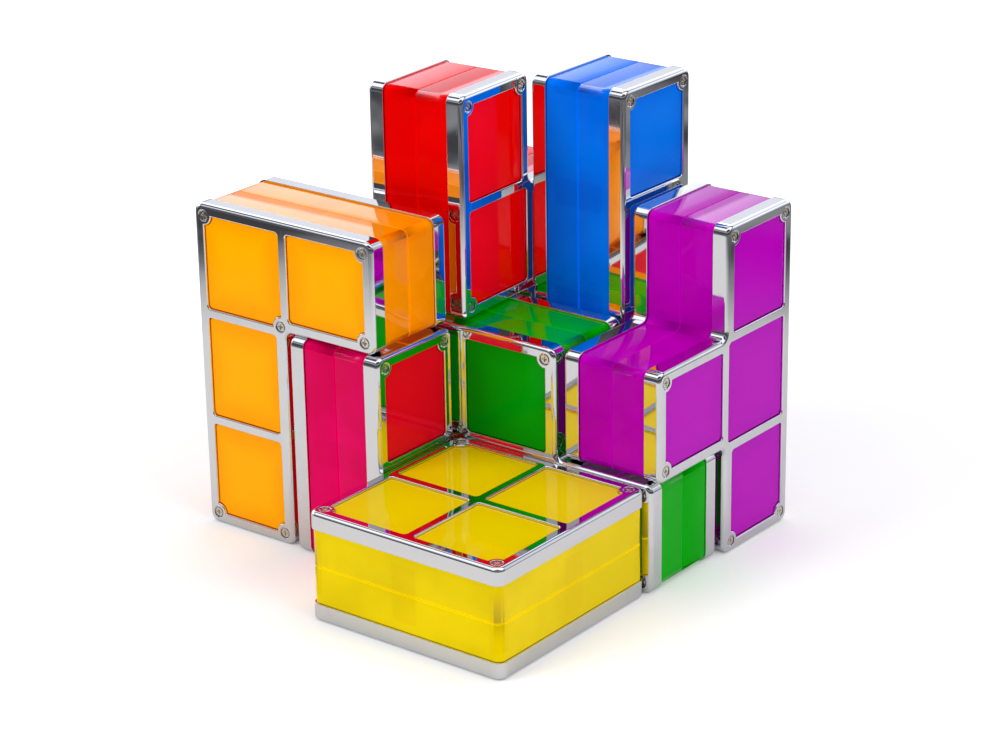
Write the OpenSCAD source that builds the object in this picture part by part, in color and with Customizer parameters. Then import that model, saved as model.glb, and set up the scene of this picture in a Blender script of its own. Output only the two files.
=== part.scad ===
// Seven light-up stacking blocks, each four squares joined edge to edge, piled up as a desk lamp.
// Each block is two chromed frames screwed over two coloured half shells, with a board of small
// lamps between the shells. A block is drawn lying flat: its outline is in X and Y, its thickness
// runs up Z from the rear face to the front face, and it is then stood in its place in the pile.

/* [Blocks] */
// Side of one square
unit = 42; // [38:0.5:46]
// Thickness of a block
thick = 41.4; // [38:0.1:46]
// Radius of an outside corner of the outline
corner_r = 3.5; // [2.5:0.1:4.5]
// Radius of an inside corner of the outline
inner_r = 3; // [1:0.1:4]

/* [Chrome frames] */
// Depth of the rim that wraps round the block
band = 6.6; // [5:0.1:9]
// Width from the outline to a window
border = 4.4; // [4:0.1:6]
// Width of a bar between two windows
bar = 3.5; // [2.5:0.1:5]
// Thickness of the face of the frame
plate = 2.2; // [2:0.1:3]
// Thickness of the rim
rim_wall = 1.6; // [1.2:0.1:1.7]
// Bevel round the face
edge = 1; // [0.4:0.1:1.2]
// Radius of a window's corners
window_r = 1.4; // [0.5:0.1:2]
// Cut-off at a window's corner beside an inside corner of the outline
window_cut = 1; // [0.5:0.1:2.5]

/* [Shells] */
// How far the shell sits inside the face of the rim
recess = 0.7; // [0.4:0.1:1]
// Wall of the shell
shell_wall = 1.7; // [1.4:0.1:2.5]
// How far a window pane sits below the face of the frame
pane_drop = 0.9; // [0.5:0.1:1.4]
// Width of the groove where the two shells meet
seam_w = 0.5; // [0.4:0.1:1.2]
// Depth of that groove
seam_d = 0.25; // [0.15:0.05:0.6]
// Gap between a pane and its window
pane_gap = 0.15; // [0.1:0.05:0.3]

/* [Screws] */
// Distance of a screw from both sides of an outside corner
screw_in = 4.4; // [4.2:0.1:4.8]
// Distance of a screw from both sides of an inside corner
inner_screw_in = 2.1; // [2:0.1:3]
// Diameter of a screw's head
head_d = 3.4; // [3:0.1:3.6]
// Height of a screw's head
head_h = 1; // [0.8:0.1:1.1]
// Diameter of a screw's thread
thread_d = 2; // [1.6:0.1:2.2]
// Length of a screw's thread
thread_l = 8; // [6:0.5:10]
// Gap round a screw's head in its well
well_gap = 0.5; // [0.2:0.1:0.6]
// Radius of the frame round a screw
boss_r = 3.6; // [3.2:0.1:4]

/* [Lamps] */
// Thickness of the lamp board
board_t = 1.6; // [1:0.1:2]
// Side of a lamp
led_side = 3.5; // [3:0.1:5]
// Distance of a lamp from the middle of its square
led_out = 9; // [7:0.5:11]

/* [Power socket] */
// Height of the socket above the foot of the block
socket_up = 17.6; // [15:0.2:26]
// Radius of the socket's barrel
barrel_r = 3.8; // [3.5:0.1:4]
// Radius of the plug hole
plug_r = 2.85; // [2.6:0.05:3]

/* [Pile] */
// Place of the green block's lower left end, counted in squares like those of the other blocks
green_at = [-1, 0, 0];
// Place of the magenta block
magenta_at = [-1.043, -1.05, 0];
// Place of the orange block
orange_at = [-2.119, -1.01, 0];
// Place of the yellow block
yellow_at = [-0.045, -2.012, 0];
// Place of the purple block
purple_at = [1.064, 0.038, 0];
// Place of the blue block
blue_at = [-0.002, 1.029, 0];
// Place of the red block, which rests one square up
red_at = [-1.026, 0.071, 1];
// How far the red block is turned
red_turn = 2.6; // [0:0.2:3.4]

/* [Hidden] */
$fn = 64;
eps = 0.05;

chrome_colour = [0.8, 0.8, 0.82];
steel_colour = [0.6, 0.6, 0.62];
board_colour = [0.08, 0.1, 0.09];
led_colour = [1, 0.98, 0.85];
green_colour = [0, 0.59, 0];
magenta_colour = [0.82, 0, 0.2];
orange_colour = [1, 0.66, 0];
yellow_colour = [0.93, 0.82, 0];
purple_colour = [0.72, 0, 0.72];
blue_colour = [0, 0.33, 0.82];
red_colour = [0.92, 0, 0];

// The squares of each block, as [column, row] in its own flat grid
green_cells = [[1, 0], [2, 0], [0, 1], [1, 1]];
magenta_cells = [[0, 0], [1, 0], [2, 0], [0, 1]];
orange_cells = [[0, 0], [0, 1], [0, 2], [1, 2]];
yellow_cells = [[0, 0], [1, 0], [0, 1], [1, 1]];
purple_cells = [[1, 0], [1, 1], [1, 2], [0, 1]];
blue_cells = [[0, 0], [0, 1], [0, 2], [0, 3]];
red_cells = [[1, 0], [1, 1], [0, 1], [0, 2]];

// The pile's sides, and the shift that puts its middle over the origin
pile_left = unit * orange_at.x;
pile_right = unit * purple_at.x + thick;
pile_front = unit * yellow_at.y;
pile_back = unit * (red_at.y + 2 * cos(red_turn)) + thick * sin(red_turn);
centring = [-(pile_left + pile_right) / 2, -(pile_front + pile_back) / 2, 0];

// Sizes that follow from the ones above, or that nothing else turns on
shell_face = 2;
rim_in = rim_wall + pane_gap;
cavity_in = rim_in + shell_wall;
hole_r = thread_d / 2 + 0.15;
post_r = min(screw_in - rim_in, sqrt(2) * (inner_screw_in + inner_r - rim_in) - inner_r) - eps;
head_room = head_h + 0.2;
board_z = thick / 2 - 3;
peg_r = 1;
rest_r = 2.4;
socket_drop = thick - (band + thick / 2) / 2;

function has(cells, i, j) = len([for (c = cells) if (c.x == i && c.y == j) 1]) > 0;
function across(i, s) = s > 0 ? i : i - 1;
// Whether the corner at a grid point, looking towards the quadrant [sx, sy], sticks out or turns in
function sticks_out(cells, i, j, sx, sy) = has(cells, across(i, sx), across(j, sy))
    && !has(cells, across(i, -sx), across(j, sy)) && !has(cells, across(i, sx), across(j, -sy));
function turns_in(cells, i, j, sx, sy) = !has(cells, across(i, sx), across(j, sy))
    && has(cells, across(i, -sx), across(j, sy)) && has(cells, across(i, sx), across(j, -sy));
function quadrant_turn(sx, sy) = sy > 0 ? (sx > 0 ? 0 : 90) : (sx > 0 ? 270 : 180);
// Only a block of three in a row and one at the end has a screw in its inside corner
function inner_screw(cells) = cells == orange_cells || cells == magenta_cells;

// Draws its children at each outside corner, with the block towards +X +Y
module at_outside_corners(cells) {
    for (i = [0:4], j = [0:4], sx = [-1, 1], sy = [-1, 1])
        if (sticks_out(cells, i, j, sx, sy))
            translate([i * unit, j * unit]) rotate(quadrant_turn(sx, sy)) children();
}

// Draws its children at each inside corner, with the open square towards +X +Y
module at_inside_corners(cells) {
    for (i = [0:4], j = [0:4], sx = [-1, 1], sy = [-1, 1])
        if (turns_in(cells, i, j, sx, sy))
            translate([i * unit, j * unit]) rotate(quadrant_turn(sx, sy)) children();
}

module at_screws(cells) {
    at_outside_corners(cells) translate([screw_in, screw_in]) children();
    if (inner_screw(cells))
        at_inside_corners(cells) translate([-inner_screw_in, -inner_screw_in]) children();
}

// The sliver between a square corner and a round one
module corner_sliver(r) {
    difference() {
        translate([-eps, -eps]) square(r + eps);
        translate([r, r]) circle(r);
    }
}

// The outline of a block, drawn in by d
module outline(cells, d = 0) {
    difference() {
        union() {
            difference() {
                for (c = cells) {
                    x0 = c.x * unit + (has(cells, c.x - 1, c.y) ? -eps : d);
                    x1 = (c.x + 1) * unit - (has(cells, c.x + 1, c.y) ? -eps : d);
                    y0 = c.y * unit + (has(cells, c.x, c.y - 1) ? -eps : d);
                    y1 = (c.y + 1) * unit - (has(cells, c.x, c.y + 1) ? -eps : d);
                    translate([x0, y0]) square([x1 - x0, y1 - y0]);
                }
                at_inside_corners(cells) translate([-d, -d]) square(d + 2 * eps);
            }
            at_inside_corners(cells) translate([-d, -d]) corner_sliver(inner_r);
        }
        at_outside_corners(cells) translate([d, d]) corner_sliver(max(corner_r - d, 0.6));
    }
}

// The windows of a face, made smaller by gap all round
module windows(cells, gap = 0) {
    difference() {
        for (c = cells) {
            x0 = c.x * unit + (has(cells, c.x - 1, c.y) ? bar / 2 : border) + gap;
            x1 = (c.x + 1) * unit - (has(cells, c.x + 1, c.y) ? bar / 2 : border) - gap;
            y0 = c.y * unit + (has(cells, c.x, c.y - 1) ? bar / 2 : border) + gap;
            y1 = (c.y + 1) * unit - (has(cells, c.x, c.y + 1) ? bar / 2 : border) - gap;
            rounded_window(x0, x1, y0, y1);
        }
        at_screws(cells) circle(boss_r + gap);
        if (!inner_screw(cells))
            at_inside_corners(cells) rotate(45)
                square(sqrt(2) * (bar + window_cut + 2 * gap), center = true);
    }
}

module rounded_window(x0, x1, y0, y1) {
    difference() {
        translate([x0, y0]) square([x1 - x0, y1 - y0]);
        translate([x0, y0]) corner_sliver(window_r);
        translate([x1, y0]) rotate(90) corner_sliver(window_r);
        translate([x1, y1]) rotate(180) corner_sliver(window_r);
        translate([x0, y1]) rotate(270) corner_sliver(window_r);
    }
}

// The half turn that puts a front half at the rear
module rear_side() { translate([0, 0, thick]) mirror([0, 0, 1]) children(); }

// How much of a side's straight run a corner takes up at the grid point [i, j]
function run_end(cells, i, j) =
    len([for (sx = [-1, 1], sy = [-1, 1]) if (sticks_out(cells, i, j, sx, sy)) 1]) > 0 ? corner_r
    : len([for (sx = [-1, 1], sy = [-1, 1]) if (turns_in(cells, i, j, sx, sy)) 1]) > 0 ? inner_r : 0;

// Cuts the bevel along one straight run, which lies along X with the block on its +Y side
module run_bevel(x0, x1) {
    translate([x0, 0, thick]) rotate([90, 0, 90]) linear_extrude(x1 - x0)
        polygon([[-eps, -edge - eps], [edge + eps, eps], [-eps, eps]]);
}

// Everything the bevel round the face takes away
module face_bevel(cells) {
    for (c = cells) {
        if (!has(cells, c.x, c.y - 1)) translate([c.x * unit, c.y * unit, 0])
            run_bevel(run_end(cells, c.x, c.y), unit - run_end(cells, c.x + 1, c.y));
        if (!has(cells, c.x + 1, c.y)) translate([(c.x + 1) * unit, c.y * unit, 0]) rotate(90)
            run_bevel(run_end(cells, c.x + 1, c.y), unit - run_end(cells, c.x + 1, c.y + 1));
        if (!has(cells, c.x, c.y + 1)) translate([(c.x + 1) * unit, (c.y + 1) * unit, 0]) rotate(180)
            run_bevel(run_end(cells, c.x + 1, c.y + 1), unit - run_end(cells, c.x, c.y + 1));
        if (!has(cells, c.x - 1, c.y)) translate([c.x * unit, (c.y + 1) * unit, 0]) rotate(270)
            run_bevel(run_end(cells, c.x, c.y + 1), unit - run_end(cells, c.x, c.y));
    }
    at_outside_corners(cells) translate([corner_r, corner_r, thick]) rotate(180)
        rotate_extrude(angle = 90)
            polygon([[corner_r - edge - eps, eps], [corner_r + eps, -edge - eps], [corner_r + eps, eps]]);
    at_inside_corners(cells) translate([inner_r, inner_r, thick]) rotate(180)
        rotate_extrude(angle = 90)
            polygon([[inner_r + edge + eps, eps], [inner_r - eps, -edge - eps], [inner_r - eps, eps]]);
}

// A chromed frame: a face with windows, and a rim that wraps round the sides
module frame_half(cells) {
    difference() {
        union() {
            translate([0, 0, thick - plate]) linear_extrude(plate)
                difference() {
                    outline(cells);
                    windows(cells);
                }
            translate([0, 0, thick - band]) linear_extrude(band - plate + eps)
                difference() {
                    outline(cells);
                    outline(cells, rim_wall);
                }
        }
        face_bevel(cells);
        at_screws(cells) {
            translate([0, 0, thick - plate - 1]) cylinder(r = hole_r, h = plate + 2);
            translate([0, 0, thick - head_room]) cylinder(r = head_d / 2 + well_gap, h = head_room + 1);
        }
    }
}

// Half a coloured shell, hollow, with raised panes for the windows and posts for the screws
module shell_half(cells) {
    difference() {
        union() {
            difference() {
                union() {
                    translate([0, 0, thick / 2])
                        linear_extrude(seam_w / 2 + eps) outline(cells, recess + seam_d);
                    translate([0, 0, thick / 2 + seam_w / 2])
                        linear_extrude(thick / 2 - band - seam_w / 2 - pane_gap) outline(cells, recess);
                    translate([0, 0, thick - band - 1])
                        linear_extrude(band + 1 - plate) outline(cells, rim_in);
                }
                translate([0, 0, thick / 2 - 1])
                    linear_extrude(thick / 2 + 1 - plate - shell_face) outline(cells, cavity_in);
            }
            translate([0, 0, thick - plate - eps]) linear_extrude(plate + eps - pane_drop)
                windows(cells, pane_gap);
            at_screws(cells) translate([0, 0, thick / 2]) cylinder(r = post_r, h = thick / 2 - plate - 1);
        }
        at_screws(cells) translate([0, 0, thick - plate - thread_l - 0.5])
            cylinder(r = hole_r, h = thread_l + 2);
    }
}

// The rear half also holds the lamp board on a post in each square, with a peg through the board
module rear_shell_half(cells, socket_hole = false) {
    difference() {
        union() {
            shell_half(cells);
            for (c = cells) translate([(c.x + 0.5) * unit, (c.y + 0.5) * unit, 0]) {
                translate([0, 0, thick - board_z]) cylinder(r = rest_r, h = board_z - plate - 1);
                translate([0, 0, thick - board_z - board_t - 0.5]) cylinder(r = peg_r, h = board_t + 1);
            }
        }
        if (socket_hole)
            translate([unit - 6, socket_up, socket_drop]) rotate([0, 90, 0])
                cylinder(r = barrel_r + 0.15, h = 8);
    }
}

// Pan-head screws with a cross in the head
module screw_set(cells) {
    at_screws(cells) translate([0, 0, thick - head_room]) difference() {
        union() {
            cylinder(d = head_d, h = head_h);
            translate([0, 0, -thread_l]) cylinder(d = thread_d, h = thread_l + eps);
        }
        translate([0, 0, head_h]) {
            cube([head_d * 0.62, 0.5, 1.1], center = true);
            cube([0.5, head_d * 0.62, 1.1], center = true);
        }
    }
}

// The lamp board, cut away round the posts and bored for the pegs
module led_board(cells) {
    translate([0, 0, board_z]) linear_extrude(board_t) difference() {
        outline(cells, cavity_in + 0.5);
        at_screws(cells) circle(post_r + 0.4);
        for (c = cells) translate([(c.x + 0.5) * unit, (c.y + 0.5) * unit]) circle(peg_r + 0.15);
    }
}

// Four lamps round the middle of each square
module led_set(cells) {
    for (c = cells, a = [45:90:315])
        translate([(c.x + 0.5) * unit, (c.y + 0.5) * unit, board_z + board_t])
            rotate(a) translate([led_out, 0, 0]) {
                translate([0, 0, 0.6]) cube([led_side, led_side, 1.2], center = true);
                translate([0, 0, 1.2 - eps]) cylinder(d = led_side * 0.75, h = 0.4);
            }
}

// A round power socket in the side of the block: a flange outside, a barrel and a box inside
module power_socket() {
    translate([unit, socket_up, socket_drop]) rotate([0, -90, 0]) {
        difference() {
            union() {
                cylinder(r = barrel_r + 1.2, h = recess);
                cylinder(r = barrel_r, h = 12);
                translate([-barrel_r + 0.2, -4.5, 5]) cube([2 * barrel_r - 0.4, 9, 8.5]);
            }
            translate([0, 0, -1]) cylinder(r = plug_r, h = 11);
        }
        translate([0, 0, 1.5]) cylinder(r = 1, h = 9.5);
    }
}

// Where each block stands: lying flat, with its front face to the front, or to the right
module stand_front(at) {
    translate(centring + unit * at + [0, thick, 0]) rotate([90, 0, 0]) children();
}
module stand_right(at, turn = 0) {
    translate(centring + unit * at) rotate(turn) rotate([90, 0, 90]) children();
}
module green_place() { stand_front(green_at) children(); }
module magenta_place() { stand_right(magenta_at) children(); }
module orange_place() { stand_front(orange_at) children(); }
module yellow_place() { translate(centring + unit * yellow_at) children(); }
module purple_place() { stand_right(purple_at) children(); }
module blue_place() { stand_right(blue_at) children(); }
module red_place() { stand_right(red_at, red_turn) children(); }

module green_front_frame() { color(chrome_colour) green_place() frame_half(green_cells); }
module green_rear_frame() { color(chrome_colour) green_place() rear_side() frame_half(green_cells); }
module green_front_shell() { color(green_colour) green_place() shell_half(green_cells); }
module green_rear_shell() { color(green_colour) green_place() rear_side() rear_shell_half(green_cells); }
module green_front_screws() { color(steel_colour) green_place() screw_set(green_cells); }
module green_rear_screws() { color(steel_colour) green_place() rear_side() screw_set(green_cells); }
module green_led_board() { color(board_colour) green_place() led_board(green_cells); }
module green_leds() { color(led_colour) green_place() led_set(green_cells); }

module magenta_front_frame() { color(chrome_colour) magenta_place() frame_half(magenta_cells); }
module magenta_rear_frame() { color(chrome_colour) magenta_place() rear_side() frame_half(magenta_cells); }
module magenta_front_shell() { color(magenta_colour) magenta_place() shell_half(magenta_cells); }
module magenta_rear_shell() {
    color(magenta_colour) magenta_place() rear_side() rear_shell_half(magenta_cells);
}
module magenta_front_screws() { color(steel_colour) magenta_place() screw_set(magenta_cells); }
module magenta_rear_screws() { color(steel_colour) magenta_place() rear_side() screw_set(magenta_cells); }
module magenta_led_board() { color(board_colour) magenta_place() led_board(magenta_cells); }
module magenta_leds() { color(led_colour) magenta_place() led_set(magenta_cells); }

module orange_front_frame() { color(chrome_colour) orange_place() frame_half(orange_cells); }
module orange_rear_frame() { color(chrome_colour) orange_place() rear_side() frame_half(orange_cells); }
module orange_front_shell() { color(orange_colour) orange_place() shell_half(orange_cells); }
module orange_rear_shell() {
    color(orange_colour) orange_place() rear_side() rear_shell_half(orange_cells);
}
module orange_front_screws() { color(steel_colour) orange_place() screw_set(orange_cells); }
module orange_rear_screws() { color(steel_colour) orange_place() rear_side() screw_set(orange_cells); }
module orange_led_board() { color(board_colour) orange_place() led_board(orange_cells); }
module orange_leds() { color(led_colour) orange_place() led_set(orange_cells); }

module yellow_front_frame() { color(chrome_colour) yellow_place() frame_half(yellow_cells); }
module yellow_rear_frame() { color(chrome_colour) yellow_place() rear_side() frame_half(yellow_cells); }
module yellow_front_shell() { color(yellow_colour) yellow_place() shell_half(yellow_cells); }
module yellow_rear_shell() {
    color(yellow_colour) yellow_place() rear_side() rear_shell_half(yellow_cells);
}
module yellow_front_screws() { color(steel_colour) yellow_place() screw_set(yellow_cells); }
module yellow_rear_screws() { color(steel_colour) yellow_place() rear_side() screw_set(yellow_cells); }
module yellow_led_board() { color(board_colour) yellow_place() led_board(yellow_cells); }
module yellow_leds() { color(led_colour) yellow_place() led_set(yellow_cells); }

module purple_front_frame() { color(chrome_colour) purple_place() frame_half(purple_cells); }
module purple_rear_frame() { color(chrome_colour) purple_place() rear_side() frame_half(purple_cells); }
module purple_front_shell() { color(purple_colour) purple_place() shell_half(purple_cells); }
module purple_rear_shell() {
    color(purple_colour) purple_place() rear_side() rear_shell_half(purple_cells);
}
module purple_front_screws() { color(steel_colour) purple_place() screw_set(purple_cells); }
module purple_rear_screws() { color(steel_colour) purple_place() rear_side() screw_set(purple_cells); }
module purple_led_board() { color(board_colour) purple_place() led_board(purple_cells); }
module purple_leds() { color(led_colour) purple_place() led_set(purple_cells); }

module blue_front_frame() { color(chrome_colour) blue_place() frame_half(blue_cells); }
module blue_rear_frame() { color(chrome_colour) blue_place() rear_side() frame_half(blue_cells); }
module blue_front_shell() { color(blue_colour) blue_place() shell_half(blue_cells); }
module blue_rear_shell() {
    color(blue_colour) blue_place() rear_side() rear_shell_half(blue_cells, socket_hole = true);
}
module blue_front_screws() { color(steel_colour) blue_place() screw_set(blue_cells); }
module blue_rear_screws() { color(steel_colour) blue_place() rear_side() screw_set(blue_cells); }
module blue_led_board() { color(board_colour) blue_place() led_board(blue_cells); }
module blue_leds() { color(led_colour) blue_place() led_set(blue_cells); }

module red_front_frame() { color(chrome_colour) red_place() frame_half(red_cells); }
module red_rear_frame() { color(chrome_colour) red_place() rear_side() frame_half(red_cells); }
module red_front_shell() { color(red_colour) red_place() shell_half(red_cells); }
module red_rear_shell() { color(red_colour) red_place() rear_side() rear_shell_half(red_cells); }
module red_front_screws() { color(steel_colour) red_place() screw_set(red_cells); }
module red_rear_screws() { color(steel_colour) red_place() rear_side() screw_set(red_cells); }
module red_led_board() { color(board_colour) red_place() led_board(red_cells); }
module red_leds() { color(led_colour) red_place() led_set(red_cells); }

module blue_power_socket() { color(board_colour) blue_place() rear_side() power_socket(); }

green_front_frame();
green_rear_frame();
green_front_shell();
green_rear_shell();
green_front_screws();
green_rear_screws();
green_led_board();
green_leds();
magenta_front_frame();
magenta_rear_frame();
magenta_front_shell();
magenta_rear_shell();
magenta_front_screws();
magenta_rear_screws();
magenta_led_board();
magenta_leds();
orange_front_frame();
orange_rear_frame();
orange_front_shell();
orange_rear_shell();
orange_front_screws();
orange_rear_screws();
orange_led_board();
orange_leds();
yellow_front_frame();
yellow_rear_frame();
yellow_front_shell();
yellow_rear_shell();
yellow_front_screws();
yellow_rear_screws();
yellow_led_board();
yellow_leds();
purple_front_frame();
purple_rear_frame();
purple_front_shell();
purple_rear_shell();
purple_front_screws();
purple_rear_screws();
purple_led_board();
purple_leds();
blue_front_frame();
blue_rear_frame();
blue_front_shell();
blue_rear_shell();
blue_front_screws();
blue_rear_screws();
blue_led_board();
blue_leds();
red_front_frame();
red_rear_frame();
red_front_shell();
red_rear_shell();
red_front_screws();
red_rear_screws();
red_led_board();
red_leds();
blue_power_socket();
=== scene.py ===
"""Seven light-up stacking blocks in chromed frames, piled up as a desk lamp."""

import math

import bmesh
import bpy
from bpy.props import FloatProperty, FloatVectorProperty, IntProperty, PointerProperty
from mathutils import Matrix, Vector


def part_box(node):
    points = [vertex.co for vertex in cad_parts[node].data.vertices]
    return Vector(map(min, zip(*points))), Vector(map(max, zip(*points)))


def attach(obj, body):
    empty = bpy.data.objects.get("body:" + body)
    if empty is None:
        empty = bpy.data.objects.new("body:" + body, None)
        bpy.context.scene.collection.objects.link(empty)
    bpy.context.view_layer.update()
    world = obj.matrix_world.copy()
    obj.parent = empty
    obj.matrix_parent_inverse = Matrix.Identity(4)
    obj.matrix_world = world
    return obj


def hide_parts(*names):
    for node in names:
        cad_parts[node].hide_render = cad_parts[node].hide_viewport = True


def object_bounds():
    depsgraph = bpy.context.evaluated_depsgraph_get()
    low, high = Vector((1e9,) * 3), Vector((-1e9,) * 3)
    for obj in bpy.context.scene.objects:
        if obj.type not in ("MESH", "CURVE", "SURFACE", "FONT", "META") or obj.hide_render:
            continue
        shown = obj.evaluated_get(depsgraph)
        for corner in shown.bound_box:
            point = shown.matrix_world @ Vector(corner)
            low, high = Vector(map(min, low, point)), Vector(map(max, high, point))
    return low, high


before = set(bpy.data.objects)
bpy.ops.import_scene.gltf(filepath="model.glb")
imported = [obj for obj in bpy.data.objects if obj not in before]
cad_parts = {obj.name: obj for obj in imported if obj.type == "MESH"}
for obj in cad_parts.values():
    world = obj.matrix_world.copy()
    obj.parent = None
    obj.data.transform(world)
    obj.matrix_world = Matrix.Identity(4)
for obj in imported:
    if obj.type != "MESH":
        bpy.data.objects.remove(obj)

bl_info = {
    "name": "Light-up stacking blocks",
    "version": (1, 0, 0),
    "blender": (4, 5, 0),
    "location": "3D View > Sidebar > Blocks",
    "description": "Builds chromed frames, coloured shells, screws and lamps for a pile of blocks",
    "category": "Object",
}

MM = 0.001
cad_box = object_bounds()
UNIT = (cad_box[1].z - cad_box[0].z) / 4
RED_TURN = math.radians(2.6)
# Half of a block's thickness, counted in squares
MIDDLE = 0.5 * (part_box("yellow_front_frame")[1].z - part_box("yellow_rear_frame")[0].z) / UNIT

# The slope that the shading gives the top of an upright frame's rim
RIM_DRAFT = math.radians(9.5)
# Width of the rounding on screws and socket
SMALL_ROUNDING = 0.12 * MM
# How dark the floor's far edge is in reflections: in its dark patches and in its light ones
FAR_DARK = (0.05, 0.051, 0.057)
FAR_LIGHT = (0.24, 0.243, 0.255)

# How each block stands in the pile: flat, with its front face to the front, or to the right
STANDS = {
    "green": ("front", 0.0),
    "magenta": ("right", 0.0),
    "orange": ("front", 0.0),
    "yellow": ("flat", 0.0),
    "purple": ("right", 0.0),
    "blue": ("right", 0.0),
    "red": ("right", RED_TURN),
}
HALVES = ("front", "rear")


def block_place(block):
    """The matrix from a block's own flat frame, in which its thickness is up +Z, to the pile."""
    stand, turn = STANDS[block]
    low = Vector(map(min, *(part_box(f"{block}_{half}_frame")[0] for half in HALVES)))
    high = Vector(map(max, *(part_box(f"{block}_{half}_frame")[1] for half in HALVES)))
    if stand == "flat":
        return Matrix.Translation(low)
    upright = Matrix.Rotation(math.radians(90), 4, "X")
    if stand == "front":
        return Matrix.Translation((low.x, high.y, low.z)) @ upright
    corner = Vector((low.x + 2 * UNIT * math.sin(turn), low.y, low.z))
    quarter = Matrix.Rotation(math.radians(90) + turn, 4, "Z")
    return Matrix.Translation(corner) @ quarter @ upright


# ---------------------------------------------------------------- settings


class ChromeSettings(bpy.types.PropertyGroup):
    colour: FloatVectorProperty(
        name="Chrome colour", description="Tint of the chromed frames", subtype="COLOR",
        default=(0.90, 0.905, 0.92), min=0, max=1)
    rim_rounding: FloatProperty(
        name="Rim rounding", description="Width of the rounding on each side of the bevel round the face",
        default=0.5 * MM, min=0.1 * MM, max=0.55 * MM, unit="LENGTH", precision=5)
    window_rounding: FloatProperty(
        name="Window rounding", description="Width of the rounding round each window",
        default=0.45 * MM, min=0.05 * MM, max=0.6 * MM, unit="LENGTH", precision=5)
    rounding: FloatProperty(
        name="Edge rounding", description="Width of the rounding on every other frame edge",
        default=0.2 * MM, min=0.05 * MM, max=0.4 * MM, unit="LENGTH", precision=5)
    steel: FloatVectorProperty(
        name="Screw colour", description="Tint of the screws", subtype="COLOR",
        default=(0.86, 0.80, 0.68), min=0, max=1)


class PlasticSettings(bpy.types.PropertyGroup):
    green: FloatVectorProperty(
        name="Green", description="Plastic of the green block", subtype="COLOR",
        default=(0.0, 0.32, 0.002), min=0, max=1)
    magenta: FloatVectorProperty(
        name="Magenta", description="Plastic of the magenta block", subtype="COLOR",
        default=(0.60, 0.0, 0.075), min=0, max=1)
    orange: FloatVectorProperty(
        name="Orange", description="Plastic of the orange block", subtype="COLOR",
        default=(0.86, 0.24, 0.0), min=0, max=1)
    yellow: FloatVectorProperty(
        name="Yellow", description="Plastic of the yellow block", subtype="COLOR",
        default=(0.70, 0.52, 0.0), min=0, max=1)
    purple: FloatVectorProperty(
        name="Purple", description="Plastic of the purple block", subtype="COLOR",
        default=(0.39, 0.0, 0.36), min=0, max=1)
    blue: FloatVectorProperty(
        name="Blue", description="Plastic of the blue block", subtype="COLOR",
        default=(0.0, 0.135, 0.76), min=0, max=1)
    red: FloatVectorProperty(
        name="Red", description="Plastic of the red block", subtype="COLOR",
        default=(0.68, 0.0, 0.0), min=0, max=1)
    pane_rounding: FloatProperty(
        name="Pane rounding", description="Width of the rounded rim of each window pane",
        default=0.6 * MM, min=0.2 * MM, max=1 * MM, unit="LENGTH", precision=5)
    rounding: FloatProperty(
        name="Edge rounding", description="Width of the rounding on the shell's edges",
        default=0.15 * MM, min=0.05 * MM, max=0.3 * MM, unit="LENGTH", precision=5)


class LampSettings(bpy.types.PropertyGroup):
    board: FloatVectorProperty(
        name="Board colour", description="Coating of the lamp boards", subtype="COLOR",
        default=(0.86, 0.87, 0.84), min=0, max=1)
    lamp: FloatVectorProperty(
        name="Lamp colour", description="Phosphor of the lamps", subtype="COLOR",
        default=(0.95, 0.82, 0.35), min=0, max=1)
    socket: FloatVectorProperty(
        name="Socket colour", description="Moulding of the power socket", subtype="COLOR",
        default=(0.02, 0.02, 0.022), min=0, max=1)


class StageSettings(bpy.types.PropertyGroup):
    floor: FloatVectorProperty(
        name="Floor colour", description="Colour of the floor", subtype="COLOR",
        default=(0.93, 0.93, 0.94), min=0, max=1)
    floor_radius: FloatProperty(
        name="Floor radius", description="Radius of the floor disc",
        default=4.0, min=1, max=10, unit="LENGTH")
    camera_back: FloatVectorProperty(
        name="Camera place", description="Where the camera stands", subtype="TRANSLATION",
        default=(0.6266, -0.7782, 0.4510), unit="LENGTH")
    camera_turn: FloatVectorProperty(
        name="Camera turn", description="Turn round Z, tilt from straight down, and roll",
        subtype="EULER", default=(math.radians(38.05), math.radians(69.01), math.radians(-0.94)))
    lens: FloatProperty(
        name="Lens", description="Focal length on a 36 mm wide sensor, in millimetres",
        default=105.97, min=20, max=300)


# ---------------------------------------------------------------- materials


class Tree:
    """A short way to place and link nodes in a node tree."""

    def __init__(self, tree):
        self.tree = tree

    def add(self, kind, inputs=None, **settings):
        node = self.tree.nodes.new(kind)
        for name, value in settings.items():
            setattr(node, name, value)
        for name, value in (inputs or {}).items():
            self.feed(node.inputs[name], value)
        return node

    def feed(self, socket, value):
        if isinstance(value, bpy.types.NodeSocket):
            self.tree.links.new(value, socket)
        else:
            socket.default_value = value

    def math(self, operation, a, b=0.0, c=0.0):
        return self.add("ShaderNodeMath", {0: a, 1: b, 2: c}, operation=operation).outputs[0]

    def ramp(self, value, low, high, to_low=0.0, to_high=1.0, smooth=True):
        kind = "SMOOTHSTEP" if smooth else "LINEAR"
        inputs = {"Value": value, "From Min": low, "From Max": high, "To Min": to_low, "To Max": to_high}
        return self.add("ShaderNodeMapRange", inputs, interpolation_type=kind).outputs["Result"]

    def mix(self, share, a, b):
        node = self.add("ShaderNodeMix", data_type="RGBA")
        self.feed(node.inputs[0], share)
        self.feed(node.inputs[6], a)
        self.feed(node.inputs[7], b)
        return node.outputs[2]

    def noise(self, vector, scale, detail=2.0, roughness=0.5):
        inputs = {"Vector": vector, "Scale": scale, "Detail": detail, "Roughness": roughness}
        return self.add("ShaderNodeTexNoise", inputs).outputs["Fac"]


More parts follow.
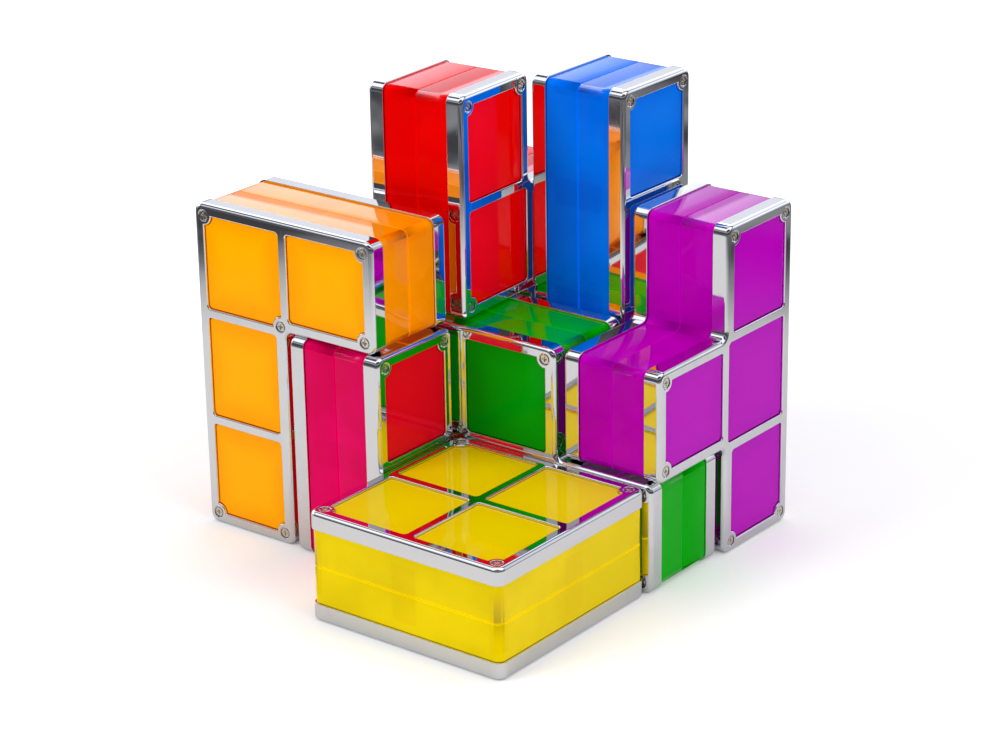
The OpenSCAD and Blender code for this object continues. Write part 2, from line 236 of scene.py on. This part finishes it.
def rgba(colour):
    return (colour[0], colour[1], colour[2], 1.0)


def shade(colour, factor):
    return tuple(min(1.0, channel * factor) for channel in colour)


def new_material(name):
    material = bpy.data.materials.new(name)
    material.use_nodes = True
    material.node_tree.nodes.clear()
    tree = Tree(material.node_tree)
    shader = tree.add("ShaderNodeBsdfPrincipled")
    tree.add("ShaderNodeOutputMaterial", {"Surface": shader.outputs[0]})
    return material, tree, shader


def new_group(name, inputs, outputs):
    group = bpy.data.node_groups.new(name, "ShaderNodeTree")
    for label, kind, value in inputs:
        socket = group.interface.new_socket(label, in_out="INPUT", socket_type=kind)
        if value is not None:
            socket.default_value = value
    for label in outputs:
        group.interface.new_socket(label, in_out="OUTPUT", socket_type="NodeSocketFloat")
    tree = Tree(group)
    return group, tree, tree.add("NodeGroupInput").outputs, tree.add("NodeGroupOutput").inputs


def handling_group():
    """Finger haze, fine scratches and a slow waviness, shared by every glossy surface."""
    name = "handling marks"
    if name in bpy.data.node_groups:
        return bpy.data.node_groups[name]
    group, tree, given, made = new_group(
        name,
        [("Vector", "NodeSocketVector", None), ("Haze Scale", "NodeSocketFloat", 40.0),
         ("Scratch Scale", "NodeSocketFloat", 900.0)],
        ["Haze", "Scratch", "Wave"],
    )
    broad = tree.noise(given["Vector"], given["Haze Scale"], 3.0, 0.6)
    fine = tree.noise(given["Vector"], tree.math("MULTIPLY", given["Haze Scale"], 7.0), 4.0, 0.7)
    haze = tree.math("MULTIPLY", tree.ramp(broad, 0.45, 0.7), tree.ramp(fine, 0.3, 0.75))
    tree.feed(made["Haze"], haze)
    stretched = tree.add("ShaderNodeMapping", {
        "Vector": given["Vector"], "Rotation": (0.4, 0.9, 0.3), "Scale": (1.0, 0.03, 0.2)})
    lines = tree.noise(stretched.outputs[0], given["Scratch Scale"], 2.0, 0.6)
    tree.feed(made["Scratch"], tree.ramp(lines, 0.64, 0.72))
    tree.feed(made["Wave"], tree.noise(given["Vector"], 22.0, 1.0, 0.3))
    return group


def object_place(tree):
    return tree.add("ShaderNodeTexCoord").outputs["Object"]


def marks(tree, haze_scale=40.0, scratch_scale=900.0):
    inputs = {"Vector": object_place(tree), "Haze Scale": haze_scale, "Scratch Scale": scratch_scale}
    return tree.add("ShaderNodeGroup", inputs, node_tree=handling_group()).outputs


def chrome_material(settings):
    material, tree, shader = new_material("bright chrome")
    mark = marks(tree)
    worn = tree.mix(mark["Haze"], rgba(settings.colour), rgba(shade(settings.colour, 0.93)))
    tree.feed(shader.inputs["Base Color"], worn)
    shader.inputs["Metallic"].default_value = 1.0
    rough = tree.math("MULTIPLY_ADD", mark["Haze"], 0.05, 0.035)
    tree.feed(shader.inputs["Roughness"], tree.math("MULTIPLY_ADD", mark["Scratch"], 0.05, rough))
    cell = tree.add("ShaderNodeAttribute", attribute_name="cell_place").outputs["Vector"]
    off_middle = tree.math("ABSOLUTE", tree.math(
        "SUBTRACT", tree.add("ShaderNodeSeparateXYZ", {"Vector": cell}).outputs["Z"], MIDDLE))
    drafted = tree.math("MULTIPLY", off_middle, math.tan(RIM_DRAFT) * UNIT / MM)
    upward = tree.add("ShaderNodeSeparateXYZ", {"Vector": tree.add("ShaderNodeTexCoord").outputs["Normal"]})
    draft = tree.add("ShaderNodeBump", {
        "Height": drafted, "Strength": tree.ramp(upward.outputs["Z"], 0.6, 0.9), "Distance": MM})
    height = tree.math("MULTIPLY_ADD", mark["Wave"], 1.0, tree.math("MULTIPLY", mark["Scratch"], 0.01))
    bump = tree.add("ShaderNodeBump", {
        "Height": height, "Strength": 0.12, "Distance": 0.6 * MM, "Normal": draft.outputs[0]})
    tree.feed(shader.inputs["Normal"], bump.outputs[0])
    return material


def steel_material(settings):
    material, tree, shader = new_material("plated screw steel")
    mark = marks(tree, 300.0, 4000.0)
    worn = tree.mix(mark["Haze"], rgba(settings.steel), rgba(shade(settings.steel, 0.6)))
    tree.feed(shader.inputs["Base Color"], worn)
    shader.inputs["Metallic"].default_value = 1.0
    tree.feed(shader.inputs["Roughness"], tree.math("MULTIPLY_ADD", mark["Haze"], 0.15, 0.1))
    bump = tree.add("ShaderNodeBump", {"Height": mark["Scratch"], "Strength": 0.2, "Distance": 0.05 * MM})
    tree.feed(shader.inputs["Normal"], bump.outputs[0])
    return material


def inner_shade_group():
    """Masks for a shell's material: its posts near the cell's corners and a rib between cells, which show
    faintly through it as painted shade; cloudiness; each cell's middle, for a painted glow; and the seam
    line, for a painted highlight.
    """
    name = "inner shapes"
    if name in bpy.data.node_groups:
        return bpy.data.node_groups[name]
    group, tree, given, made = new_group(
        name, [("Cell Place", "NodeSocketVector", None)], ["Rib", "Cloud", "Middle", "Seam"])
    split = tree.add("ShaderNodeSeparateXYZ", {"Vector": given["Cell Place"]}).outputs

    def off_edge(value):
        part = tree.math("FRACT", value)
        return tree.math("MINIMUM", part, tree.math("SUBTRACT", 1.0, part))

    nearest = tree.math("MINIMUM", off_edge(split["X"]), off_edge(split["Y"]))
    farthest = tree.math("MAXIMUM", off_edge(split["X"]), off_edge(split["Y"]))
    along = tree.ramp(farthest, 0.11, 0.14, 1.0, 0.0)
    near = tree.ramp(nearest, 0.03, 0.05, 1.0, 0.0)
    off_middle = tree.math("ABSOLUTE", tree.math("SUBTRACT", split["Z"], MIDDLE))
    low = tree.ramp(off_middle, 0.24, 0.27, 1.0, 0.0)
    tree.feed(made["Seam"], tree.ramp(off_middle, 0.005, 0.013, 1.0, 0.0, smooth=False))
    tree.feed(made["Rib"], tree.math("MULTIPLY", tree.math("MULTIPLY", along, near), low))
    tree.feed(made["Middle"], tree.ramp(nearest, 0.08, 0.34))
    tree.feed(made["Cloud"], tree.noise(given["Cell Place"], 1.4, 2.0, 0.5))
    return group


# Colour of each plastic where it is thick or in shadow, as a share of red, green and blue
DEEPENING = {
    "green": (0.5, 0.62, 0.5), "magenta": (0.88, 0.5, 0.75), "orange": (1.0, 0.45, 0.5),
    "yellow": (0.93, 0.78, 0.5), "purple": (0.78, 0.5, 0.85), "blue": (0.5, 0.5, 0.78),
    "red": (0.82, 0.5, 0.5),
}
# The panes of a block that are a different tint from its sides
PANE_TINTS = {
    "green": (1.0, 0.98, 1.0), "magenta": (1.2, 1.0, 0.16), "orange": (1.1, 1.68, 1.0),
    "blue": (1.0, 1.25, 1.0), "purple": (1.1, 1.0, 1.2), "red": (1.36, 1.0, 1.0),
}


def plastic_material(block, settings):
    """Glossy see-through plastic, cloudy inside, deeper behind the ribs, which show through as painted
    shade, with painted shade on the pane rims and pane edges, a painted glow brightest in each pane's
    middle, and a faint painted glow all over that is stronger along the seam.
    """
    material, tree, shader = new_material(f"{block} glowing plastic")
    colour = tuple(getattr(settings, block))
    deep = tuple(channel * share for channel, share in zip(colour, DEEPENING[block]))
    pane_colour = tuple(channel * share for channel, share in zip(colour, PANE_TINTS.get(block, (1, 1, 1))))
    light = tuple(min(1.0, channel * 1.12 + (0.02 if channel > 0.05 else 0.0)) for channel in colour)
    mark = marks(tree, 30.0)
    cell = tree.add("ShaderNodeAttribute", attribute_name="cell_place").outputs["Vector"]
    rim = tree.add("ShaderNodeAttribute", attribute_name="rim").outputs["Fac"]
    pane = tree.add("ShaderNodeAttribute", attribute_name="pane").outputs["Fac"]
    inner = tree.add("ShaderNodeGroup", {"Cell Place": cell}, node_tree=inner_shade_group())
    cloudy = tree.mix(tree.ramp(inner.outputs["Cloud"], 0.35, 0.7), rgba(colour), rgba(light))
    # Painted shade: the inner ribs and posts seen through the shell darken it towards the deep colour.
    ribbed = tree.mix(tree.math("MULTIPLY", inner.outputs["Rib"], 0.22), cloudy, rgba(deep))
    # Painted light: each pane is painted brighter in its middle, a painted glow, and darker towards its
    # edges, painted shade.
    pane_edge = tuple(channel * (0.7 + 0.3 * share) for channel, share in zip(pane_colour, DEEPENING[block]))
    painted_glow = tree.mix(inner.outputs["Middle"], rgba(pane_edge), rgba(pane_colour))
    paned = tree.mix(pane, ribbed, painted_glow)
    # Painted shade: the rounded rims of the panes are darkened towards the deep colour.
    rimmed = tree.mix(tree.math("MULTIPLY", rim, 0.85), paned, rgba(deep))
    tree.feed(shader.inputs["Base Color"], rimmed)
    # Painted glow: the shell emits a faint light of its own colour all over, and more along the seam groove,
    # a painted highlight line, where it also reflects less.
    seam = inner.outputs["Seam"]
    tree.feed(shader.inputs["Emission Color"], tree.mix(seam, rimmed, rgba(shade(colour, 1.3))))
    tree.feed(shader.inputs["Emission Strength"], tree.math("MULTIPLY_ADD", seam, 0.3, 0.12))
    tree.feed(shader.inputs["Roughness"], tree.math("MULTIPLY_ADD", mark["Haze"], 0.05, 0.05))
    shader.inputs["IOR"].default_value = 1.31
    tree.feed(shader.inputs["Specular IOR Level"], tree.math("MULTIPLY_ADD", seam, -0.5, 0.5))
    strongest = max(colour)
    shader.inputs["Specular Tint"].default_value = rgba([channel / strongest for channel in colour])
    shader.inputs["Subsurface Weight"].default_value = 0.15
    shader.inputs["Subsurface Radius"].default_value = (1.0, 0.8, 0.8)
    shader.inputs["Subsurface Scale"].default_value = 3 * MM
    height = tree.math("MULTIPLY_ADD", mark["Wave"], 1.0, tree.math("MULTIPLY", mark["Scratch"], 0.008))
    bump = tree.add("ShaderNodeBump", {"Height": height, "Strength": 0.10, "Distance": 0.6 * MM})
    tree.feed(shader.inputs["Normal"], bump.outputs[0])
    return material


def board_material(settings):
    """White-coated circuit board with faint copper tracks under the coating."""
    material, tree, shader = new_material("coated circuit board")
    place = object_place(tree)
    mark = marks(tree, 120.0)
    bricks = tree.add("ShaderNodeTexBrick", {"Vector": place, "Scale": 260.0, "Mortar Size": 0.06})
    track = tree.math("MULTIPLY", bricks.outputs["Fac"], 0.35)
    coat = tree.mix(track, rgba(settings.board), rgba((0.55, 0.62, 0.5)))
    tree.feed(shader.inputs["Base Color"], tree.mix(mark["Haze"], coat, rgba(shade(settings.board, 0.9))))
    tree.feed(shader.inputs["Roughness"], tree.math("MULTIPLY_ADD", mark["Haze"], 0.2, 0.4))
    bump = tree.add("ShaderNodeBump", {
        "Height": bricks.outputs["Fac"], "Strength": 0.3, "Distance": 0.05 * MM})
    tree.feed(shader.inputs["Normal"], bump.outputs[0])
    return material


def lamp_material(settings):
    material, tree, shader = new_material("lamp phosphor")
    place = object_place(tree)
    mark = marks(tree, 400.0)
    grain = tree.noise(place, 3000.0, 2.0)
    speckled = tree.mix(tree.ramp(grain, 0.4, 0.65), rgba(settings.lamp), rgba(shade(settings.lamp, 0.8)))
    tree.feed(shader.inputs["Base Color"], speckled)
    tree.feed(shader.inputs["Roughness"], tree.math("MULTIPLY_ADD", mark["Haze"], 0.2, 0.2))
    return material


def socket_material(settings):
    material, tree, shader = new_material("moulded socket black")
    place = object_place(tree)
    mark = marks(tree, 200.0)
    grain = tree.noise(place, 4000.0, 3.0)
    tree.feed(shader.inputs["Base Color"],
              tree.mix(mark["Haze"], rgba(settings.socket), rgba(shade(settings.socket, 2.5))))
    tree.feed(shader.inputs["Roughness"], tree.math("MULTIPLY_ADD", grain, 0.25, 0.3))
    bump = tree.add("ShaderNodeBump", {"Height": grain, "Strength": 0.25, "Distance": 0.04 * MM})
    tree.feed(shader.inputs["Normal"], bump.outputs[0])
    return material


# ---------------------------------------------------------------- shared mesh work


def bench_copy(node):
    """A merged, closed copy of a CAD node's mesh, with each flat face made whole."""
    mesh = bmesh.new()
    mesh.from_mesh(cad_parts[node].data)
    bmesh.ops.remove_doubles(mesh, verts=mesh.verts, dist=0.001 * MM)
    bmesh.ops.dissolve_limit(mesh, angle_limit=math.radians(0.5), verts=mesh.verts, edges=mesh.edges)
    return mesh


def sharp_edges(mesh, above):
    return [edge for edge in mesh.edges if edge.calc_face_angle(0.0) > math.radians(above)]


def round_edges(mesh, edges, width, segments):
    bmesh.ops.bevel(mesh, geom=edges, offset=width, offset_type="OFFSET", segments=segments, profile=0.5,
                    affect="EDGES", clamp_overlap=False, material=-1)


def finished_piece(name, mesh, material, node, body):
    """Makes the piece of a mesh, shades it, and has it ride in its node's stead."""
    for face in mesh.faces:
        face.smooth = True
    data = bpy.data.meshes.new(name)
    mesh.to_mesh(data)
    mesh.free()
    data.materials.append(material)
    piece = bpy.data.objects.new(name, data)
    bpy.context.scene.collection.objects.link(piece)
    weighted = piece.modifiers.new("flat faces stay flat", "WEIGHTED_NORMAL")
    weighted.weight = 100
    weighted.keep_sharp = True
    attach(piece, body)
    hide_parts(node)
    return piece


# ---------------------------------------------------------------- pieces


def mark_cells(mesh, place):
    """Gives each vertex its place in the block's own flat frame, counted in squares."""
    cells = mesh.verts.layers.float_vector.new("cell_place")
    to_block = place.inverted()
    for vert in mesh.verts:
        vert[cells] = (to_block @ vert.co) / UNIT


def frame_edges(mesh, up):
    """The edges of the bevel round a frame's face, those of its windows, and its other sharp ones."""
    slanted, windows, others = [], [], []

    def is_window_wall(face):
        heights = [vert.co.dot(up) for vert in face.verts]
        return 2 * MM < max(heights) - min(heights) < 3 * MM

    for edge in sharp_edges(mesh, 30):
        if edge.calc_face_angle() < math.radians(60):
            slanted.append(edge)
        elif any(abs(face.normal.dot(up)) > 0.999 for face in edge.link_faces) and \
                any(is_window_wall(face) for face in edge.link_faces):
            windows.append(edge)
        else:
            others.append(edge)
    return slanted, windows, others


class BLOCKS_OT_frames(bpy.types.Operator):
    """Make the chromed front and rear frames of every block"""

    bl_idname = "blocks.frames"
    bl_label = "Chromed frames"

    def execute(self, context):
        settings = context.scene.block_chrome
        chrome = chrome_material(settings)
        for block in STANDS:
            place = block_place(block)
            up = place.to_3x3() @ Vector((0, 0, 1))
            for half in HALVES:
                node = f"{block}_{half}_frame"
                mesh = bench_copy(node)
                widths = (settings.rim_rounding, settings.window_rounding, settings.rounding)
                for edges, width in zip(frame_edges(mesh, up), widths):
                    round_edges(mesh, [edge for edge in edges if edge.is_valid], width, 4)
                mark_cells(mesh, place)
                finished_piece(f"{node}_polished", mesh, chrome, node, f"{block}_block")
        return {"FINISHED"}


def off_middle(place, point):
    """How far a point is from the plane half way through its block's thickness."""
    return abs((place.inverted() @ point).z - MIDDLE * UNIT)


def pane_faces(mesh, place):
    """The faces of a half shell that fill the windows, each pane joined into one face."""
    up = place.to_3x3() @ Vector((0, 0, 1))
    heights = {face: off_middle(place, face.calc_center_median()) for face in mesh.faces
               if abs(face.normal.dot(up)) > 0.999}
    outermost = max(heights.values())
    panes = [face for face, height in heights.items() if height > outermost - 0.7 * MM]
    return bmesh.ops.dissolve_faces(mesh, faces=panes)["region"]


def outer_edges(mesh, place):
    """The sharp edges of a half shell, without those of the groove along its seam, which stay crisp."""
    return [edge for edge in sharp_edges(mesh, 40)
            if max(off_middle(place, vert.co) for vert in edge.verts) > 1 * MM]


def mark_panes(mesh, place):
    """Says, for the material, where the panes are and where their rounded rims fall away."""
    rim_layer = mesh.verts.layers.float.new("rim")
    pane_layer = mesh.verts.layers.float.new("pane")
    heights = {vert: off_middle(place, vert.co) for vert in mesh.verts}
    outermost = max(heights.values())
    for vert, height in heights.items():
        fall = outermost - height
        vert[pane_layer] = 1.0 if fall < 1.6 * MM else 0.0
        vert[rim_layer] = 1.0 if 0.02 * MM < fall < 1.6 * MM else 0.0


class BLOCKS_OT_shells(bpy.types.Operator):
    """Make the coloured half shells of every block, with a rounded pane in each window"""

    bl_idname = "blocks.shells"
    bl_label = "Coloured shells"

    def execute(self, context):
        settings = context.scene.block_plastic
        for block in STANDS:
            plastic = plastic_material(block, settings)
            place = block_place(block)
            for half in HALVES:
                node = f"{block}_{half}_shell"
                mesh = bench_copy(node)
                panes = pane_faces(mesh, place)
                rims = {edge for face in panes for edge in face.edges}
                others = [edge for edge in outer_edges(mesh, place) if edge not in rims]
                round_edges(mesh, list(rims), settings.pane_rounding, 4)
                others = [edge for edge in others if edge.is_valid]
                round_edges(mesh, others, settings.rounding, 2)
                mark_cells(mesh, place)
                mark_panes(mesh, place)
                finished_piece(f"{node}_moulded", mesh, plastic, node, f"{block}_block")
        return {"FINISHED"}


class BLOCKS_OT_screws(bpy.types.Operator):
    """Make the cross-head screws of every frame"""

    bl_idname = "blocks.screws"
    bl_label = "Screws"

    def execute(self, context):
        steel = steel_material(context.scene.block_chrome)
        for block in STANDS:
            for half in HALVES:
                node = f"{block}_{half}_screws"
                mesh = bench_copy(node)
                round_edges(mesh, sharp_edges(mesh, 40), SMALL_ROUNDING, 2)
                finished_piece(f"{node}_plated", mesh, steel, node, f"{block}_block")
        return {"FINISHED"}


class BLOCKS_OT_lamps(bpy.types.Operator):
    """Finish the lamp boards and the lamps inside every block"""

    bl_idname = "blocks.lamps"
    bl_label = "Lamps and boards"

    def execute(self, context):
        settings = context.scene.block_lamps
        board = board_material(settings)
        lamp = lamp_material(settings)
        for block in STANDS:
            for kind, material in (("led_board", board), ("leds", lamp)):
                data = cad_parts[f"{block}_{kind}"].data
                data.materials.clear()
                data.materials.append(material)
        return {"FINISHED"}


class BLOCKS_OT_socket(bpy.types.Operator):
    """Make the power socket at the back of the blue block"""

    bl_idname = "blocks.socket"
    bl_label = "Power socket"

    def execute(self, context):
        node = "blue_power_socket"
        mesh = bench_copy(node)
        round_edges(mesh, sharp_edges(mesh, 40), SMALL_ROUNDING, 2)
        black = socket_material(context.scene.block_lamps)
        finished_piece(f"{node}_moulded", mesh, black, node, "blue_block")
        return {"FINISHED"}


# ---------------------------------------------------------------- stage


def floor_material(settings):
    """A pale floor, which glows faintly for the camera, more so further out, as painted light. In
    reflections it is darker, and past its middle it turns dark and patchy, a painted reflection of a room
    beyond a table.
    """
    material = bpy.data.materials.new("pale floor")
    material.use_nodes = True
    material.node_tree.nodes.clear()
    tree = Tree(material.node_tree)
    place = object_place(tree)
    mottle = tree.noise(place, 8.0, 3.0)
    colour = tree.mix(mottle, rgba(settings.floor), rgba(shade(settings.floor, 0.985)))
    path = tree.add("ShaderNodeLightPath").outputs
    # Painted reflection: in reflections the floor is darker than it is.
    mirrored = tree.mix(path["Is Glossy Ray"], colour, rgba(shade(settings.floor, 0.7)))
    plain = tree.add("ShaderNodeBsdfDiffuse", {"Color": mirrored})
    distance = tree.add("ShaderNodeVectorMath", {0: place}, operation="LENGTH").outputs["Value"]
    # Painted light: for the camera the floor glows, faintly near the pile and more further out.
    raised = tree.math("MULTIPLY", path["Is Camera Ray"], tree.ramp(distance, 0.12, 0.6, 0.15, 0.45))
    lift = tree.add("ShaderNodeEmission", {"Strength": raised})
    pale = tree.add("ShaderNodeAddShader", {0: plain.outputs[0], 1: lift.outputs[0]})
    far = tree.ramp(distance, 0.28, 0.44)
    seen = tree.math("MULTIPLY", far, path["Is Glossy Ray"])
    patches = tree.ramp(tree.noise(place, 11.0, 2.0), 0.4, 0.62)
    far_edge = tree.mix(patches, rgba(FAR_DARK), rgba(FAR_LIGHT))
    dark = tree.add("ShaderNodeEmission", {"Color": far_edge, "Strength": 1.0})
    mixed = tree.add("ShaderNodeMixShader", {0: seen, 1: pale.outputs[0], 2: dark.outputs[0]})
    tree.add("ShaderNodeOutputMaterial", {"Surface": mixed.outputs[0]})
    return material


def studio_world():
    """Even pale light, with a bright backdrop behind and above and a dark front in reflections."""
    world = bpy.data.worlds.new("soft studio")
    world.use_nodes = True
    world.node_tree.nodes.clear()
    tree = Tree(world.node_tree)
    path = tree.add("ShaderNodeLightPath").outputs
    direction = tree.add("ShaderNodeTexCoord").outputs["Generated"]
    split = tree.add("ShaderNodeSeparateXYZ", {"Vector": direction}).outputs

    def toward(way):
        node = tree.add("ShaderNodeVectorMath", {0: direction, 1: way}, operation="DOT_PRODUCT")
        return node.outputs["Value"]

    def band(from_none, from_full, to_full, to_none):
        rise = tree.ramp(split["Z"], from_none, from_full)
        return tree.math("MULTIPLY", rise, tree.ramp(split["Z"], to_full, to_none, 1.0, 0.0))

    back = toward((-0.616, 0.788, 0.0))
    left = toward((-0.788, -0.616, 0.0))
    sheet = band(0.2, 0.23, 0.41, 0.45)
    sheet = tree.math("MULTIPLY", sheet, tree.ramp(left, -0.1, 0.14, 0.8, 2.8, smooth=False))
    sheet = tree.math("MULTIPLY", sheet, tree.ramp(back, 0.2, 0.5))
    low = tree.math("ADD", sheet, tree.ramp(back, -0.15, 0.45, 0.0, 0.8))
    backdrop = tree.ramp(back, 0.45, 0.6, 0.0, 1.3)
    overhead = tree.math("MULTIPLY", tree.ramp(back, -0.55, -0.45), tree.ramp(back, 0.12, 0.22, 1.1, 0.0))
    high = tree.math("ADD", backdrop, overhead)
    is_high = tree.ramp(split["Z"], 0.5, 0.65)
    lows = tree.math("ADD", low, tree.math("MULTIPLY", band(0.3, 0.36, 0.44, 0.5), 0.3))
    glow = tree.add("ShaderNodeMix", {0: is_high, 2: lows, 3: high}, data_type="FLOAT").outputs[0]
    mirror = tree.add(
        "ShaderNodeBackground",
        {"Color": (0.93, 0.96, 1.05, 1), "Strength": tree.math("ADD", glow, 0.06)})
    soft = tree.add("ShaderNodeBackground", {"Color": (1.0, 1.0, 1.0, 1), "Strength": 0.5})
    seen = tree.add("ShaderNodeBackground", {"Color": (0.97, 0.97, 0.98, 1), "Strength": 1.0})
    for ray, shader in (("Is Glossy Ray", mirror), ("Is Camera Ray", seen)):
        soft = tree.add("ShaderNodeMixShader", {0: path[ray], 1: soft.outputs[0], 2: shader.outputs[0]})
    tree.add("ShaderNodeOutputWorld", {"Surface": soft.outputs[0]})
    return world


# Soft boxes: name, place, width, height and power in watts; each faces the pile
SOFT_BOXES = (
    ("key", (-0.75, -1.35, 1.05), 0.9, 0.7, 12.0),
    ("fill", (1.55, -0.15, 0.95), 0.9, 0.7, 9.0),
    ("top", (0.05, 0.25, 1.55), 1.2, 1.2, 7.5),
)


class BLOCKS_OT_stage(bpy.types.Operator):
    """Make the floor, the lights and the camera"""

    bl_idname = "blocks.stage"
    bl_label = "Stage"

    def execute(self, context):
        settings = context.scene.block_stage
        scene = context.scene
        scene.view_settings.view_transform = "Standard"
        mesh = bmesh.new()
        bmesh.ops.create_circle(mesh, cap_ends=True, segments=96, radius=settings.floor_radius)
        bmesh.ops.translate(mesh, verts=mesh.verts, vec=(0, 0, -0.05 * MM))
        data = bpy.data.meshes.new("floor")
        mesh.to_mesh(data)
        mesh.free()
        data.materials.append(floor_material(settings))
        floor = bpy.data.objects.new("floor", data)
        scene.collection.objects.link(floor)
        scene.world = studio_world()
        middle = Vector((0, 0, 1.8 * UNIT))
        for name, place, width, height, power in SOFT_BOXES:
            light = bpy.data.lights.new(f"{name} soft box", "AREA")
            light.shape = "RECTANGLE"
            light.size = width
            light.size_y = height
            light.energy = power
            lamp = bpy.data.objects.new(light.name, light)
            lamp.location = place
            lamp.rotation_euler = (middle - Vector(place)).to_track_quat("-Z", "Y").to_euler()
            lamp.visible_glossy = False
            scene.collection.objects.link(lamp)
        camera = bpy.data.objects.new("camera", bpy.data.cameras.new("camera"))
        turn, tilt, roll = settings.camera_turn
        camera.matrix_world = (
            Matrix.Translation(settings.camera_back)
            @ Matrix.Rotation(turn, 4, "Z") @ Matrix.Rotation(tilt, 4, "X") @ Matrix.Rotation(roll, 4, "Z")
        )
        camera.data.sensor_width = 36.0
        camera.data.lens = settings.lens
        scene.collection.objects.link(camera)
        scene.camera = camera
        return {"FINISHED"}


OPERATORS = (
    BLOCKS_OT_stage, BLOCKS_OT_frames, BLOCKS_OT_shells, BLOCKS_OT_screws, BLOCKS_OT_lamps, BLOCKS_OT_socket,
)


class BLOCKS_PT_panel(bpy.types.Panel):
    """Lists the pieces and their settings"""

    bl_idname = "BLOCKS_PT_panel"
    bl_label = "Stacking blocks"
    bl_space_type = "VIEW_3D"
    bl_region_type = "UI"
    bl_category = "Blocks"

    def draw(self, context):
        for operator in OPERATORS:
            self.layout.operator(operator.bl_idname)
        for group in (name for name, kind in SETTINGS):
            box = self.layout.box()
            settings = getattr(context.scene, group)
            for name in settings.__annotations__:
                box.prop(settings, name)


SETTINGS = (
    ("block_chrome", ChromeSettings), ("block_plastic", PlasticSettings),
    ("block_lamps", LampSettings), ("block_stage", StageSettings),
)
CLASSES = tuple(kind for name, kind in SETTINGS) + OPERATORS + (BLOCKS_PT_panel,)


def register():
    for kind in CLASSES:
        bpy.utils.register_class(kind)
    for name, kind in SETTINGS:
        setattr(bpy.types.Scene, name, PointerProperty(type=kind))


def unregister():
    for name, kind in SETTINGS:
        delattr(bpy.types.Scene, name)
    for kind in reversed(CLASSES):
        bpy.utils.unregister_class(kind)


def write_sizes():
    bpy.context.view_layer.update()


def main():
    register()
    bpy.ops.blocks.stage()
    bpy.ops.blocks.frames()
    bpy.ops.blocks.shells()
    bpy.ops.blocks.screws()
    bpy.ops.blocks.lamps()
    bpy.ops.blocks.socket()
    write_sizes()


if __name__ == "__main__":
    main()
